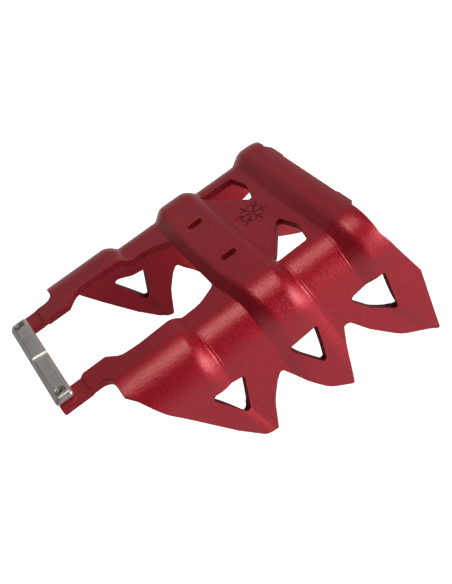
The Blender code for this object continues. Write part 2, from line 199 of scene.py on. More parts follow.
def press_marks(across, along):
    """The pair of fine ridges that the press leaves along the feet of three slopes."""
    height = np.zeros_like(across)
    for slope in (FRONT_RIB_REAR_SLOPE, MIDDLE_RIB_REAR_SLOPE, REAR_RIB_FRONT_SLOPE):
        foot = interpolated(slope["foot"], across)
        downhill = np.sign(foot - interpolated(slope["crest"], across))
        for place in PRESS_MARK_PLACES:
            away = (along - foot) * downhill - place
            height += np.exp(-(away / PRESS_MARK_WIDTH) ** 2)
    return PRESS_MARK_HEIGHT * interpolated(PRESS_MARK_FADE, across) * height


def lift(across, along):
    """How far the outer face stands out from the deck's low zones and the flange's plain face."""
    front, middle_front, middle_rear, rear = (climb(slope, across, along) for slope in SLOPES)
    ribs = np.maximum(np.maximum(front, np.minimum(middle_front, middle_rear)), rear)
    height = RIB_HEIGHT * interpolated(RIB_SHARE, across) * ribs
    on_deck = 1.0 - ease((across - DECK_HALF_WIDTH) / BEND_LENGTH)
    rear_share = np.clip((along - REAR_DROP[0]) / (REAR_DROP[1] - REAR_DROP[0]), 0.0, 1.0)
    height -= REAR_EDGE_DROP * rear_share ** 2 * on_deck
    height -= TAB_STEP * ease((along - TAB_STEP_SPAN[0]) / (TAB_STEP_SPAN[1] - TAB_STEP_SPAN[0]))
    return height + press_marks(across, along)


def formed(across, along):
    """The formed plate's outer face, for places on the blank; arrays in, rows of X, Y, Z out."""
    height = lift(across, along)
    angle = np.clip((across - DECK_HALF_WIDTH) / BEND_RADIUS, 0.0, BEND_ANGLE)
    below_bend = np.clip(across - DECK_HALF_WIDTH - BEND_LENGTH, 0.0, None)
    radius = BEND_RADIUS + height
    on_deck = np.minimum(across, DECK_HALF_WIDTH)
    return np.stack((
        on_deck + radius * np.sin(angle) + below_bend * np.cos(angle),
        along,
        -BEND_RADIUS + radius * np.cos(angle) - below_bend * np.sin(angle),
    ), axis=1)


def outward(across, along):
    """Unit normals of the formed face, evened out over a small reach as a real sheet's back is."""
    side = formed(across + NORMAL_REACH, along) - formed(np.maximum(across - NORMAL_REACH, 0.0), along)
    length = formed(across, along + NORMAL_REACH) - formed(across, along - NORMAL_REACH)
    normal = np.cross(side, length)
    normal[across < ON_CENTRE, 0] = 0.0
    return normal / np.linalg.norm(normal, axis=1)[:, None]


# ---- Outlines ----

def rounded(corners, closed, corner_step=CORNER_STEP):
    """A polyline with each corner (x, y, radius) turned into an arc."""
    points = []
    count = len(corners)
    for index, (x, y, radius) in enumerate(corners):
        corner = Vector((x, y))
        if radius == 0.0 or (not closed and index in (0, count - 1)):
            points.append(corner)
            continue
        before = Vector(corners[index - 1][:2]) - corner
        after = Vector(corners[(index + 1) % count][:2]) - corner
        half_angle = before.angle(after) / 2
        reach = radius / math.tan(half_angle)
        reach = min(reach, CORNER_REACH_SHARE * before.length, CORNER_REACH_SHARE * after.length)
        arc_radius = reach * math.tan(half_angle)
        bisector = (before.normalized() + after.normalized()).normalized()
        centre = corner + bisector * (arc_radius / math.sin(half_angle))
        start = corner + before.normalized() * reach - centre
        sweep = start.angle_signed(corner + after.normalized() * reach - centre)
        steps = max(2, math.ceil(abs(sweep) / corner_step))
        for turn in range(steps + 1):
            points.append(centre + Matrix.Rotation(-sweep * turn / steps, 2) @ start)
    return points


def refined(points, closed):
    """The same polyline with no edge longer than MAX_EDGE."""
    result = []
    ends = points[1:] + points[:1] if closed else points[1:]
    for start, end in zip(points, ends):
        steps = max(1, math.ceil((end - start).length / MAX_EDGE))
        result.extend(start.lerp(end, step / steps) for step in range(steps))
    if not closed:
        result.append(points[-1])
    return result


def as_rows(points):
    return np.array([tuple(point) for point in points])


def circle(centre, radius, steps):
    turns = [2 * math.pi * step / steps for step in range(steps)]
    return [Vector(centre) + radius * Vector((math.cos(turn), math.sin(turn))) for turn in turns]


def plate_rims():
    """The rims of half the blank as (rows, closed): its open outer edge, then each hole."""
    teeth = FRONT_TOOTH_EDGE + MIDDLE_TOOTH_EDGE + REAR_TOOTH_EDGE
    edge = refined(rounded(OPENING_EDGE + ARM_OUTER_EDGE + teeth + REAR_EDGE, closed=False), closed=False)
    holes = [refined(rounded(hole, closed=True), closed=True) for hole in HOLES]
    holes.append(rounded(SLOT, closed=True))
    holes.append(circle(RIVET_PLACE, RIVET_HOLE_RADIUS, RIVET_HOLE_STEPS))
    return [(as_rows(edge), False)] + [(as_rows(hole), True) for hole in holes]


def into_material(loop, hole):
    """Unit vectors at a closed loop's points, towards the metal."""
    along = np.roll(loop, -1, axis=0) - np.roll(loop, 1, axis=0)
    across = np.stack((-along[:, 1], along[:, 0]), axis=1)
    across /= np.linalg.norm(across, axis=1)[:, None]
    x, y = loop.T
    area = np.sum(x * np.roll(y, -1) - y * np.roll(x, -1))
    return across if (area > 0) != hole else -across


def rim_directions(rims, centre_line):
    """Unit vectors into the metal for every rim; the outer edge's two ends keep to the centre line."""
    edge = rims[0][0]
    edge_directions = into_material(np.concatenate((edge, centre_line)), hole=False)[:len(edge)]
    for end in (0, -1):
        edge_directions[end] = (0.0, math.copysign(1.0, edge_directions[end][1]))
    return [edge_directions] + [into_material(rows, hole=True) for rows, _ in rims[1:]]


# ---- The blank's lattice and triangulation ----

def in_loop(points, loop):
    """Which points lie inside a closed loop."""
    crossed = np.zeros(len(points), bool)
    for (x0, y0), (x1, y1) in zip(loop, np.roll(loop, -1, axis=0)):
        if y0 == y1:
            continue
        spans = (y0 > points[:, 1]) != (y1 > points[:, 1])
        at = x0 + (points[:, 1] - y0) / (y1 - y0) * (x1 - x0)
        crossed ^= spans & (points[:, 0] < at)
    return crossed


def in_metal(points, loops):
    """Which points lie inside the outer loop and in none of the holes."""
    inside = in_loop(points, loops[0])
    for hole in loops[1:]:
        inside &= ~in_loop(points, hole)
    return inside


def distances(points, loops):
    """How far each point is from the nearest corner of the loops."""
    corners = np.concatenate(loops)
    tree = KDTree(len(corners))
    for index, (x, y) in enumerate(corners):
        tree.insert((x, y, 0.0), index)
    tree.balance()
    return np.array([tree.find((x, y, 0.0))[2] for x, y in points])


def lattice_columns():
    bend_end = DECK_HALF_WIDTH + BEND_LENGTH
    deck = np.linspace(0.0, DECK_HALF_WIDTH, DECK_COLUMNS)
    bend = np.linspace(DECK_HALF_WIDTH, bend_end, BEND_COLUMNS)[1:]
    flange = np.linspace(bend_end, WIDEST_TOOTH, FLANGE_COLUMNS)[1:]
    return np.concatenate((deck, bend, flange))


def lattice_rows(across):
    """Where a column has points: close together on the slopes and at the tab's step, even elsewhere."""
    rows = []
    for slope in SLOPES:
        foot = float(interpolated(slope["foot"], across))
        crest = float(interpolated(slope["crest"], across))
        uphill = 1.0 if crest > foot else -1.0
        rows.extend(foot - uphill * row for row in FOOT_ROWS)
        rows.extend(foot + (crest - foot) * row for row in CREST_ROWS)
    rows.extend(np.linspace(TAB_STEP_SPAN[0] + TAB_ROWS_INSET, TAB_STEP_SPAN[1] - TAB_ROWS_INSET, TAB_ROWS))
    taken = np.array(rows)
    plain = np.arange(FRONT_ROW, REAR_ROW, ROW_PITCH)
    clear = np.abs(plain[:, None] - taken[None, :]).min(axis=1) > ROW_CLEARANCE
    rows = np.sort(np.concatenate((taken, plain[clear])))
    return rows[np.concatenate(([True], np.diff(rows) > CLOSEST_ROWS))]


def triangulated(loops):
    """The blank inside its loops as (points, triangles), where the loops' own points come first."""
    lattice = np.array([(across, along) for across in lattice_columns() for along in lattice_rows(across)])
    kept = in_metal(lattice, loops) & (lattice[:, 0] > ON_CENTRE)
    kept &= distances(lattice, loops) > LATTICE_CLEARANCE
    points = np.concatenate(loops + [lattice[kept]])
    edges = []
    first = 0
    for loop in loops:
        edges.extend((first + k, first + (k + 1) % len(loop)) for k in range(len(loop)))
        first += len(loop)
    flat, _, triangles, *_ = delaunay_2d_cdt([Vector(point) for point in points], edges, [], 0, SAME_POINT)
    if len(flat) != len(points):
        raise ValueError("the blank's outline crosses itself")
    triangles = np.array(triangles)
    a, b, c = (points[triangles[:, k]] for k in range(3))
    area = np.abs((b - a)[:, 0] * (c - a)[:, 1] - (b - a)[:, 1] * (c - a)[:, 0])
    return points, triangles[in_metal((a + b + c) / 3, loops) & (area > SLIVER_AREA)]


# ---- The plate's surface ----

def rim_profile():
    """The way round a rim from the outer face to the inner one, as (distance inwards, depth)."""
    turns = np.linspace(0.0, math.pi / 2, ROUNDING_STEPS + 1)[1:]
    outer = [(EDGE_ROUNDING * (1 - math.sin(turn)), EDGE_ROUNDING * (1 - math.cos(turn))) for turn in turns]
    inner = [(back, PLATE_THICKNESS - depth) for back, depth in reversed(outer)]
    return outer + [(0.0, PLATE_THICKNESS / 2)] + inner


def ring_faces(upper, lower, closed):
    """Quads between two rings of vertex numbers."""
    count = len(upper)
    return [
        (int(upper[k]), int(lower[k]), int(lower[(k + 1) % count]), int(upper[(k + 1) % count]))
        for k in range(count if closed else count - 1)
    ]


def half_plate():
    """Half the plate in the forming frame: vertices, faces, distances to a rim, and each rim's share of
    painted wall shade.
    """
    rims = plate_rims()
    edge = rims[0][0]
    centre_line = as_rows(refined([Vector(edge[-1]), Vector(edge[0])], closed=False)[1:-1])
    directions = rim_directions(rims, centre_line)
    insets = [rows + direction * EDGE_ROUNDING for (rows, _), direction in zip(rims, directions)]
    between_ends = (centre_line[:, 1] > insets[0][0, 1]) & (centre_line[:, 1] < insets[0][-1, 1])
    loops = [np.concatenate((insets[0], centre_line[between_ends]))] + insets[1:]
    points, triangles = triangulated(loops)

    count = len(points)
    outer_face = formed(*points.T)
    vertices = [outer_face, outer_face - outward(*points.T) * PLATE_THICKNESS]
    edge_distance = [distances(points, [rows for rows, _ in rims])] * 2
    wall_shade = [np.zeros(count)] * 2
    faces = [tuple(triangle) for triangle in triangles]
    faces += [tuple(count + k for k in triangle[::-1]) for triangle in triangles]
    first, total = 0, 2 * count
    for (rows, closed), direction, loop, rim_wall_shade in zip(rims, directions, loops, RIM_WALL_SHADE):
        ring = np.arange(first, first + len(rows))
        inner_ring = ring + count
        first += len(loop)
        for back, depth in rim_profile():
            place = rows + direction * back
            vertices.append(formed(*place.T) - outward(*place.T) * depth)
            edge_distance.append(np.zeros(len(rows)))
            wall_shade.append(np.full(len(rows), rim_wall_shade))
            below = np.arange(total, total + len(rows))
            faces += ring_faces(ring, below, closed)
            ring = below
            total += len(rows)
        faces += ring_faces(ring, inner_ring, closed)
    return np.concatenate(vertices), faces, np.concatenate(edge_distance), np.concatenate(wall_shade)


def object_from(bm, name):
    mesh = bpy.data.meshes.new(name)
    bm.to_mesh(mesh)
    bm.free()
    item = bpy.data.objects.new(name, mesh)
    bpy.context.scene.collection.objects.link(item)
    return item


def to_world(rows):
    matrix = np.array(FORMING)
    return rows @ matrix[:3, :3].T + matrix[:3, 3]


def build_plate():
    """The plate from its half and the half's mirror image, which share the centre line's points."""
    vertices, faces, edge_distance, wall_shade = half_plate()
    doubled = np.abs(vertices[:, 0]) >= ON_CENTRE
    mirrored = vertices[doubled] * (-1.0, 1.0, 1.0)
    partner = np.arange(len(vertices))
    partner[doubled] = len(vertices) + np.arange(len(mirrored))
    faces += [tuple(int(partner[k]) for k in reversed(face)) for face in faces]
    mesh = bpy.data.meshes.new("plate_surface")
    places = to_world(np.concatenate((vertices, mirrored)))
    mesh.from_pydata([tuple(place) for place in places], [], [tuple(face) for face in faces])
    bm = bmesh.new()
    bm.from_mesh(mesh)
    bpy.data.meshes.remove(mesh)
    bmesh.ops.recalc_face_normals(bm, faces=bm.faces)
    plate = object_from(bm, "plate_surface")
    for name, values in (("edge_distance", edge_distance), ("cut_wall", wall_shade)):
        layer = plate.data.attributes.new(name, "FLOAT", "POINT")
        layer.data.foreach_set("value", np.concatenate((values, values[doubled])).astype(np.float32))
    plate.data.shade_smooth()
    weighted = plate.modifiers.new("Flat faces stay flat", "WEIGHTED_NORMAL")
    weighted.weight = FACE_WEIGHT
    weighted.keep_sharp = True
    return plate


# ---- Pivot bar and rivets (millimetres in the forming frame) ----
GAP = 0.3
BAR_LENGTH = 56.8
BAR_ALONG = -79.3
BAR_BOTTOM = RIB_HEIGHT - TAB_STEP + GAP
BAR_HEIGHT = 2.65
BAR_SECTION = (
    (-3.9, 0.0, 0.15), (-3.9, 0.8, 0.5), (-2.0, BAR_HEIGHT, 0.9), (3.0, BAR_HEIGHT, 0.9), (3.6, 1.6, 0.8),
    (3.6, 0.0, 0.15),
)
BAR_TOP = BAR_BOTTOM + BAR_HEIGHT
BAR_CORNER_STEP = math.radians(15)
BAR_END_REACH = 1.9
BAR_END_DROP = 1.9
BAR_END_NARROWING = 1.1
BAR_END_STEPS = 8
SOFT_EDGE = 0.12
SOFT_EDGE_STEPS = 2
SOFT_EDGE_ANGLE = math.radians(32)
GROOVE_RADIUS = 2.4
GROOVE_DEPTH = 0.85
GROOVE_DIP = math.radians(-7)
GROOVE_CUTTER_LENGTH = 14.0
GROOVE_STEPS = 96
CUTTER_OVERSHOOT = 1.0
SHANK_RADIUS = 1.6
FLARE_RADIUS = 1.75
FLARE_HEIGHT = 0.6
FLARE_LIP = 0.15
FLARE_LIP_DROP = 0.08
RIVET_RECESS = 0.25
RIVET_BORE_RADIUS = 0.85
RIVET_BORE_DEPTH = 1.4
BORE_WALL = ((0.75, 1.0), (0.95, 0.93), (1.0, 0.8), (1.0, 0.45), (1.12, 0.2))
BORE_MOUTH = ((1.35, 0.03), (1.5, 0.0))
RIVET_HEAD_RADIUS = 3.0
RIVET_HEAD_HEIGHT = 1.3
RIVET_HEAD_EDGE = 0.12
RIVET_HEAD_STEPS = 8
RIVET_SHARP_ANGLE = math.radians(50)
HOLE_CHAMFER = 0.15
TURN_STEPS = 64


def turned(name, profile, across):
    """A round solid upright at a rivet's place; its profile is (radius, height) from the top down."""
    bm = bmesh.new()
    corners = [bm.verts.new((radius, 0.0, height)) for radius, height in profile]
    for upper, lower in zip(corners, corners[1:]):
        bm.edges.new((upper, lower))
    bmesh.ops.spin(
        bm, geom=bm.verts[:] + bm.edges[:], cent=(0, 0, 0), axis=(0, 0, 1), angle=2 * math.pi,
        steps=TURN_STEPS, use_merge=True,
    )
    bmesh.ops.remove_doubles(bm, verts=bm.verts, dist=1e-4)
    bmesh.ops.recalc_face_normals(bm, faces=bm.faces)
    bmesh.ops.translate(bm, verts=bm.verts, vec=(across, RIVET_PLACE[1], 0.0))
    bm.transform(FORMING)
    return object_from(bm, name)


def cut_out(item, cutters):
    """Takes the cutters' shapes out of an object and removes the cutters."""
    for cutter in cutters:
        boolean = item.modifiers.new(cutter.name, "BOOLEAN")
        boolean.object = cutter
        boolean.solver = "EXACT"
    depsgraph = bpy.context.evaluated_depsgraph_get()
    shaped = bpy.data.meshes.new_from_object(item.evaluated_get(depsgraph))
    item.modifiers.clear()
    item.data = shaped
    for cutter in cutters:
        bpy.data.objects.remove(cutter, do_unlink=True)


def uncut_bar():
    """The bar's section run across the arms and drawn in towards both rounded ends."""
    section = rounded(BAR_SECTION, closed=True, corner_step=BAR_CORNER_STEP)
    half_width = max(point.x for point in section)
    turns = np.linspace(0.0, math.pi / 2, BAR_END_STEPS + 1)
    near_end = [
        (BAR_LENGTH / 2 - BAR_END_REACH * (1 - math.sin(turn)), 1 - math.cos(turn)) for turn in turns
    ]
    stations = [(-across, share) for across, share in reversed(near_end)] + near_end
    bm = bmesh.new()
    rings = []
    for across, share in stations:
        narrowing = 1 - share * BAR_END_NARROWING / half_width
        lowering = 1 - share * BAR_END_DROP / BAR_HEIGHT
        rings.append([bm.verts.new((across, point.x * narrowing, point.y * lowering)) for point in section])
    for ring, following in zip(rings, rings[1:]):
        for index in range(len(ring)):
            bm.faces.new((ring[index - 1], ring[index], following[index], following[index - 1]))
    bm.faces.new(rings[0])
    bm.faces.new(rings[-1])
    bmesh.ops.recalc_face_normals(bm, faces=bm.faces)
    bmesh.ops.translate(bm, verts=bm.verts, vec=(0.0, BAR_ALONG, BAR_BOTTOM))
    bm.transform(FORMING)
    return object_from(bm, "bar_body")


def groove_cutter():
    bm = bmesh.new()
    bmesh.ops.create_cone(
        bm, cap_ends=True, segments=GROOVE_STEPS, radius1=GROOVE_RADIUS, radius2=GROOVE_RADIUS,
        depth=GROOVE_CUTTER_LENGTH,
    )
    bm.transform(
        FORMING @ Matrix.Translation((0.0, BAR_ALONG, BAR_TOP + GROOVE_RADIUS - GROOVE_DEPTH))
        @ Matrix.Rotation(math.pi / 2 + GROOVE_DIP, 4, "X")
    )
    return object_from(bm, "bar_groove_cutter")


def rivet_hole_cutter(side, label):
    """The bar's rivet hole: straight below, opening out above like the flare, with a chamfered rim."""
    slope = (FLARE_RADIUS - SHANK_RADIUS) / FLARE_HEIGHT
    top_radius = FLARE_RADIUS + GAP + slope * RIVET_RECESS
    hole_radius = SHANK_RADIUS + GAP
    profile = (
        (0.0, BAR_TOP + CUTTER_OVERSHOOT),
        (top_radius + HOLE_CHAMFER + CUTTER_OVERSHOOT, BAR_TOP + CUTTER_OVERSHOOT),
        (top_radius, BAR_TOP - HOLE_CHAMFER), (hole_radius, BAR_TOP - RIVET_RECESS - FLARE_HEIGHT),
        (hole_radius, BAR_BOTTOM - CUTTER_OVERSHOOT), (0.0, BAR_BOTTOM - CUTTER_OVERSHOOT),
    )
    return turned(f"bar_hole_cutter_{label}", profile, side * RIVET_PLACE[0])


def build_bar():
    """The bar, notched and drilled, with softened edges."""
    bar = uncut_bar()
    cut_out(bar, [groove_cutter(), rivet_hole_cutter(-1, "left"), rivet_hole_cutter(1, "right")])
    bar.data.shade_smooth()
    bar.data.set_sharp_from_angle(angle=SOFT_EDGE_ANGLE)
    soften = bar.modifiers.new("Softened edges", "BEVEL")
    soften.limit_method = "ANGLE"
    soften.angle_limit = SOFT_EDGE_ANGLE
    soften.width = SOFT_EDGE * MM
    soften.segments = SOFT_EDGE_STEPS
    weighted = bar.modifiers.new("Flat faces stay flat", "WEIGHTED_NORMAL")
    weighted.keep_sharp = True
    return bar


def build_rivet(side, label):
    """A domed head under the arm and a flared, bored end in the bar."""
    seat = RIB_HEIGHT - TAB_STEP - PLATE_THICKNESS - GAP
    top = BAR_TOP - RIVET_RECESS
    bore = [(0.0, top - RIVET_BORE_DEPTH)]
    bore += [(width * RIVET_BORE_RADIUS, top - depth * RIVET_BORE_DEPTH) for width, depth in BORE_WALL]
    bore += [(width * RIVET_BORE_RADIUS, top - drop) for width, drop in BORE_MOUTH]
    shank = [
        (FLARE_RADIUS - FLARE_LIP, top), (FLARE_RADIUS, top - FLARE_LIP_DROP),
        (SHANK_RADIUS, top - FLARE_HEIGHT), (SHANK_RADIUS, seat),
    ]
    dome_top = seat - RIVET_HEAD_EDGE
    dome_height = RIVET_HEAD_HEIGHT - RIVET_HEAD_EDGE
    turns = np.linspace(0.0, math.pi / 2, RIVET_HEAD_STEPS + 1)
    head = [(RIVET_HEAD_RADIUS - RIVET_HEAD_EDGE, seat)]
    head += [
        (RIVET_HEAD_RADIUS * math.cos(turn), dome_top - dome_height * math.sin(turn)) for turn in turns[:-1]
    ]
    head.append((0.0, dome_top - dome_height))
    rivet = turned(f"rivet_body_{label}", bore + shank + head, side * RIVET_PLACE[0])
    rivet.data.shade_smooth()
    rivet.data.set_sharp_from_angle(angle=RIVET_SHARP_ANGLE)
    return rivet


# ---- Generic mark between the deck's cut-outs (millimetres in the forming frame) ----
MARK_PLACE = (-2.4, 19.2)
MARK_RADIUS = 6.8
MARK_STROKE = 0.62
MARK_RELIEF = 0.03
MARK_SUNK = 0.2
MARK_TURN = math.radians(12)
MARK_ARMS = 6
ARM_START = 0.9
FORK_SHARE = 0.5
FORK_TURN = math.radians(52)
TWIG_START = 0.92
TWIG_END = 2.4
ROUND_END_STEPS = 6


def mark_strokes():
    """The crystal's strokes as pairs of ends: arms with one pair of twigs each, none touching another."""
    strokes = []
    for arm in range(MARK_ARMS):
        turn = Matrix.Rotation(math.tau * arm / MARK_ARMS + MARK_TURN, 2)
        strokes.append((turn @ Vector((ARM_START, 0.0)), turn @ Vector((MARK_RADIUS, 0.0))))
        fork = Vector((FORK_SHARE * MARK_RADIUS, 0.0))
        for side in (-1, 1):
            way = Matrix.Rotation(side * FORK_TURN, 2) @ Vector((1.0, 0.0))
            strokes.append((turn @ (fork + TWIG_START * way), turn @ (fork + TWIG_END * way)))
    return strokes


def round_ended(start, end):
    """The outline of one stroke with half-round ends."""
    along = (end - start).normalized()
    aside = Vector((-along.y, along.x))
    outline = []
    for centre, first in ((start, math.pi / 2), (end, -math.pi / 2)):
        for step in range(ROUND_END_STEPS + 1):
            turn = first + math.pi * step / ROUND_END_STEPS
            outline.append(centre + MARK_STROKE / 2 * (along * math.cos(turn) + aside * math.sin(turn)))
    return outline


def build_mark():
    """A six-armed snow crystal whose strokes are let into the deck."""
    bm = bmesh.new()
    for start, end in mark_strokes():
        corners = [Vector(MARK_PLACE) + spot for spot in round_ended(start, end)]
        face = bm.faces.new([bm.verts.new((corner.x, corner.y, -MARK_SUNK)) for corner in corners])
        raised = bmesh.ops.extrude_face_region(bm, geom=[face], use_keep_orig=True)
        top = [item for item in raised["geom"] if isinstance(item, bmesh.types.BMVert)]
        bmesh.ops.translate(bm, verts=top, vec=(0.0, 0.0, MARK_SUNK + MARK_RELIEF))
    bmesh.ops.recalc_face_normals(bm, faces=bm.faces)
    bm.transform(FORMING)
    return object_from(bm, "deck_mark")


# ---- Materials ----

class Shading:
    """One material's nodes, built step by step. Sizes are in metres."""

    def __init__(self, name):
        self.material = bpy.data.materials.new(name)
        self.material.use_nodes = True
        self.nodes = self.material.node_tree.nodes
        self.links = self.material.node_tree.links
        self.shader = self.nodes["Principled BSDF"]
        self.place = self.nodes.new("ShaderNodeTexCoord").outputs["Object"]

    def feed(self, socket, value):
        if isinstance(value, bpy.types.NodeSocket):
            self.links.new(value, socket)
        else:
            socket.default_value = value

    def set(self, **values):
        for name, value in values.items():
            self.feed(self.shader.inputs[name.replace("_", " ")], value)

    def noise(self, size, detail=2.0, roughness=0.5, stretch=None):
        """Noise with features of about this size; a small stretch draws them out along its axis."""
        node = self.nodes.new("ShaderNodeTexNoise")
        node.inputs["Scale"].default_value = 1.0 / size
        node.inputs["Detail"].default_value = detail
        node.inputs["Roughness"].default_value = roughness
        source = self.place
        if stretch:
            mapping = self.nodes.new("ShaderNodeMapping")
            mapping.inputs["Scale"].default_value = stretch
            self.links.new(self.place, mapping.inputs["Vector"])
            source = mapping.outputs["Vector"]
        self.links.new(source, node.inputs["Vector"])
        return node.outputs["Fac"]

    def cells(self, size):
        node = self.nodes.new("ShaderNodeTexVoronoi")
        node.inputs["Scale"].default_value = 1.0 / size
        self.links.new(self.place, node.inputs["Vector"])
        return node.outputs["Distance"]

    def attribute(self, name):
        node = self.nodes.new("ShaderNodeAttribute")
        node.attribute_name = name
        return node.outputs["Fac"]

    def ranged(self, value, low, high, to_low=0.0, to_high=1.0):
        node = self.nodes.new("ShaderNodeMapRange")
        node.interpolation_type = "SMOOTHSTEP"
        for name, number in (("From Min", low), ("From Max", high), ("To Min", to_low), ("To Max", to_high)):
            self.feed(node.inputs[name], number)
        self.feed(node.inputs["Value"], value)
        return node.outputs["Result"]

    def math(self, operation, first, second):
        node = self.nodes.new("ShaderNodeMath")
        node.operation = operation
        self.feed(node.inputs[0], first)
        self.feed(node.inputs[1], second)
        return node.outputs["Value"]

    def mixed(self, share, first, second):
        node = self.nodes.new("ShaderNodeMix")
        node.data_type = "RGBA"
        self.feed(node.inputs["Factor"], share)
        colour_sockets = [socket for socket in node.inputs if socket.type == "RGBA"]
        self.feed(colour_sockets[0], first)
        self.feed(colour_sockets[1], second)
        return next(socket for socket in node.outputs if socket.type == "RGBA")

    def bump(self, height, distance, strength=1.0, under=None):
        node = self.nodes.new("ShaderNodeBump")
        node.inputs["Strength"].default_value = strength
        node.inputs["Distance"].default_value = distance
        self.links.new(height, node.inputs["Height"])
        if under is not None:
            self.links.new(under, node.inputs["Normal"])
        return node.outputs["Normal"]


RED = ((0.67, 0.0060, 0.029, 1), (0.79, 0.0084, 0.038, 1))
RED_GRAIN = (0.28, 0.0030, 0.014, 1)
RED_CLOUD = (0.46, 0.0050, 0.021, 1)
WORN_RED = (0.66, 0.16, 0.17, 1)
# Painted shade colours for the cut walls.
WALL_RED = ((0.022, 0.003, 0.005, 1), (0.085, 0.016, 0.022, 1))
MARK_RED = ((0.16, 0.003, 0.010, 1), (0.34, 0.006, 0.020, 1))
BAR_GREY = ((0.78, 0.745, 0.72, 1), (0.95, 0.915, 0.89, 1))
BAR_CLOUD = (0.68, 0.64, 0.61, 1)
BAR_SPOT = (0.20, 0.18, 0.17, 1)
RIVET_GREY = ((0.42, 0.38, 0.35, 1), (0.66, 0.61, 0.57, 1))
FLOOR_WHITE = ((0.93, 0.93, 0.93, 1), (0.95, 0.95, 0.95, 1))
SHADE_GREY = ((0.10, 0.06, 0.06, 1), (0.14, 0.08, 0.08, 1))
WHITE = (1.0, 1.0, 1.0, 1)


def anodised_plate():
    """Dyed anodising over bead-blasted sheet: mottled red, paler on worn edges, and painted shade that
    darkens the cut walls.
    """
    look = Shading("anodised_plate_look")
    grain = look.noise(0.5 * MM, roughness=0.6)
    mottle = look.noise(1.2 * MM)
    red = look.mixed(look.ranged(mottle, 0.3, 0.7), *RED)
    red = look.mixed(look.ranged(grain, 0.42, 0.7, 0.0, 0.28), red, RED_GRAIN)
    red = look.mixed(look.ranged(look.noise(22 * MM), 0.3, 0.75, 0.0, 0.25), red, RED_CLOUD)
    near_edge = look.ranged(look.attribute("edge_distance"), 0.0, 0.9, 1.0, 0.0)
    worn = look.math("MULTIPLY", near_edge, look.ranged(look.noise(1.1 * MM, detail=3.0), 0.42, 0.62))
    red = look.mixed(look.math("MULTIPLY", worn, 0.22), red, WORN_RED)
    # Painted shade on the cut walls: their colour is pulled towards WALL_RED by each rim's share, and the
    # coat is thinned there.
    wall = look.attribute("cut_wall")
    wall_red = look.mixed(look.ranged(look.noise(0.6 * MM), 0.3, 0.7), *WALL_RED)
    look.set(Base_Color=look.mixed(look.math("MULTIPLY", wall, 0.85), red, wall_red))
    look.set(Metallic=0.85, Specular_IOR_Level=0.0, Coat_Roughness=0.27, Coat_IOR=1.65)
    look.set(Roughness=look.ranged(mottle, 0.25, 0.75, 0.50, 0.62))
    look.set(Coat_Weight=look.ranged(wall, 0.0, 0.5, 1.0, 0.15))
    surface = look.bump(mottle, 0.04 * MM, under=look.bump(grain, 0.12 * MM))
    look.set(Normal=surface, Coat_Normal=surface)
    return look.material


def bar_steel():
    """Satin stainless steel with a drawn grain along the bar and faint handling marks."""
    look = Shading("bar_steel_look")
    drawn = look.noise(0.28 * MM, detail=3.0, roughness=0.65, stretch=(0.03, 1.0, 1.0))
    cloud = look.noise(3.5 * MM, detail=3.0)
    spots = look.ranged(look.cells(1.4 * MM), 0.06, 0.16, 1.0, 0.0)
    steel = look.mixed(look.ranged(drawn, 0.3, 0.7), *BAR_GREY)
    steel = look.mixed(look.ranged(cloud, 0.35, 0.75, 0.0, 0.4), steel, BAR_CLOUD)
    steel = look.mixed(look.math("MULTIPLY", spots, 0.12), steel, BAR_SPOT)
    look.set(Base_Color=steel, Metallic=0.7, Anisotropic=0.3)
    look.set(Roughness=look.ranged(cloud, 0.25, 0.75, 0.32, 0.44))
    look.set(Normal=look.bump(drawn, 0.012 * MM, 0.5))
    return look.material


def rivet_steel():
    """Duller, brownish rivet metal, clouded by the setting tool."""
    look = Shading("rivet_steel_look")
    cloud = look.noise(0.9 * MM, detail=3.0)
    look.set(Base_Color=look.mixed(look.ranged(cloud, 0.3, 0.7), *RIVET_GREY), Metallic=1.0)
    look.set(Roughness=look.ranged(cloud, 0.3, 0.7, 0.38, 0.55))
    look.set(Normal=look.bump(cloud, 0.04 * MM, 0.4))
    return look.material


def mark_ink():
    """The darker strokes of the mark."""
    look = Shading("deck_mark_look")
    grain = look.noise(0.5 * MM, detail=3.0)
    look.set(Base_Color=look.mixed(look.ranged(grain, 0.3, 0.7), *MARK_RED), Metallic=0.5)
    look.set(Roughness=look.ranged(grain, 0.3, 0.7, 0.5, 0.65))
    look.set(Normal=look.bump(grain, 0.03 * MM, 0.5))
    return look.material


def pale_floor():
    look = Shading("pale_floor_look")
    look.set(Base_Color=look.mixed(look.ranged(look.noise(0.25), 0.3, 0.7), *FLOOR_WHITE), Roughness=0.9)
    look.set(Emission_Color=WHITE, Emission_Strength=FLOOR_GLOW)
    return look.material


def floor_shade():
    """Dim, slightly red floor in the plate's shade."""
    look = Shading("floor_shade_look")
    look.set(Base_Color=look.mixed(look.ranged(look.noise(0.03), 0.3, 0.7), *SHADE_GREY))
    look.set(Roughness=1.0, Specular_IOR_Level=0.0)
    look.set(Emission_Color=WHITE, Emission_Strength=SHADE_GLOW)
    return look.material


# ---- Putting the pieces in the frame ----

def place(piece, node, slot, material):
    """Puts a piece on the root body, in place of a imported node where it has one."""
    piece.data.materials.clear()
    piece.data.materials.append(material)
    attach(piece, "root")
    if node:
        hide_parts(node)


place(build_plate(), "crampon_plate", "anodised_plate", anodised_plate())
place(build_mark(), None, "anodised_plate", mark_ink())
place(build_bar(), "pivot_bar", "bar_steel", bar_steel())
rivet_look = rivet_steel()
for rivet_side, rivet_label in ((-1, "left"), (1, "right")):
    place(build_rivet(rivet_side, rivet_label), f"rivet_{rivet_label}", "rivet_steel", rivet_look)


# ---- Studio (metres and degrees) ----
STUDIO_REACH = 6.0
FLOOR_GLOW = 1.0
SHADE_REACH = (0.050, 0.072)
SHADE_HEIGHT = 0.0002
SHADE_GLOW = 0.13
AIR_ABOVE = 0.06
AIR_BELOW = 0.43
AIR_BLEND = (-0.25, 0.10)
LIGHTS_AIM = (0.0, 0.0, 0.03)
